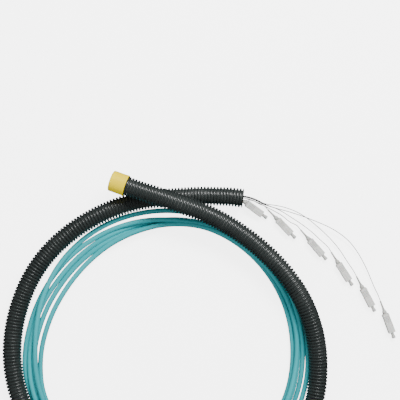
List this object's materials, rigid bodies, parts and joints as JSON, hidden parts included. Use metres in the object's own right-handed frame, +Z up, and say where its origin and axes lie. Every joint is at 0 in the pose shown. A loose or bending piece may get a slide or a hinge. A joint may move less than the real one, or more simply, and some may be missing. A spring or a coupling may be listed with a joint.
{
  "type": "preterminated fibre optic cable",
  "caption": "Coiled fibre optic trunk cable with corrugated conduit at both ends, one end capped, the other opening into a fan of single-fibre tails with push-pull plugs.",
  "frame": {"origin": "on the floor under the middle of the coil with its conduits and cap, the tails and plugs not counted", "axes": "+Z up from the floor, +X to the right and +Y to the top of the picture"},
  "size_m": [0.5062, 0.4308, 0.0492],
  "materials": {
    "aqua_jacket": "satin",
    "black_conduit": "satin",
    "yellow_cap": "satin",
    "black_fitting": "matt",
    "grey_fibre": "satin",
    "pale_boot": "matt",
    "pale_grip": "satin",
    "pale_frame": "satin",
    "ceramic": "polished",
    "grey_dust_cap": "matt"
  },
  "bodies": {
    "cable": {"trunk_coil": "aqua_jacket", "trunk_lead_capped": "aqua_jacket", "trunk_lead_open": "aqua_jacket", "capped_conduit": "black_conduit", "open_conduit": "black_conduit", "capped_conduit_bush": "black_fitting", "open_conduit_bush": "black_fitting", "breakout_body": "black_fitting", "tail_1": "grey_fibre", "boot_1": "pale_boot", "plug_frame_1": "pale_frame", "ferrule_1": "ceramic", "dust_cap_1": "grey_dust_cap", "tail_2": "grey_fibre", "boot_2": "pale_boot", "plug_frame_2": "pale_frame", "ferrule_2": "ceramic", "dust_cap_2": "grey_dust_cap", "tail_3": "grey_fibre", "boot_3": "pale_boot", "plug_frame_3": "pale_frame", "ferrule_3": "ceramic", "dust_cap_3": "grey_dust_cap", "tail_4": "grey_fibre", "boot_4": "pale_boot", "plug_frame_4": "pale_frame", "ferrule_4": "ceramic", "dust_cap_4": "grey_dust_cap", "tail_5": "grey_fibre", "boot_5": "pale_boot", "plug_frame_5": "pale_frame", "ferrule_5": "ceramic", "dust_cap_5": "grey_dust_cap", "tail_6": "grey_fibre", "boot_6": "pale_boot", "plug_frame_6": "pale_frame", "ferrule_6": "ceramic", "dust_cap_6": "grey_dust_cap"},
    "cap": {"end_cap": "yellow_cap"},
    "grip_body_1": {"grip_1": "pale_grip"},
    "grip_body_2": {"grip_2": "pale_grip"},
    "grip_body_3": {"grip_3": "pale_grip"},
    "grip_body_4": {"grip_4": "pale_grip"},
    "grip_body_5": {"grip_5": "pale_grip"},
    "grip_body_6": {"grip_6": "pale_grip"}
  },
  "joints": [
    {"name": "cap_pull", "type": "slide", "parent": "cable", "child": "cap", "axis": [-0.9403, 0.3351, -0.06], "range_m": [0, 0.035]},
    {"name": "grip_1_pull", "type": "slide", "parent": "cable", "child": "grip_body_1", "axis": [-0.8007, 0.5733, 0.1736], "range_m": [0, 0.0015]},
    {"name": "grip_2_pull", "type": "slide", "parent": "cable", "child": "grip_body_2", "axis": [-0.6947, 0.7193, 0], "range_m": [0, 0.0015]},
    {"name": "grip_3_pull", "type": "slide", "parent": "cable", "child": "grip_body_3", "axis": [-0.6561, 0.7547, 0], "range_m": [0, 0.0015]},
    {"name": "grip_4_pull", "type": "slide", "parent": "cable", "child": "grip_body_4", "axis": [-0.5358, 0.8443, 0], "range_m": [0, 0.0015]},
    {"name": "grip_5_pull", "type": "slide", "parent": "cable", "child": "grip_body_5", "axis": [-0.4633, 0.8862, 0], "range_m": [0, 0.0015]},
    {"name": "grip_6_pull", "type": "slide", "parent": "cable", "child": "grip_body_6", "axis": [-0.3469, 0.9379, 0], "range_m": [0, 0.0015]}
  ]
}
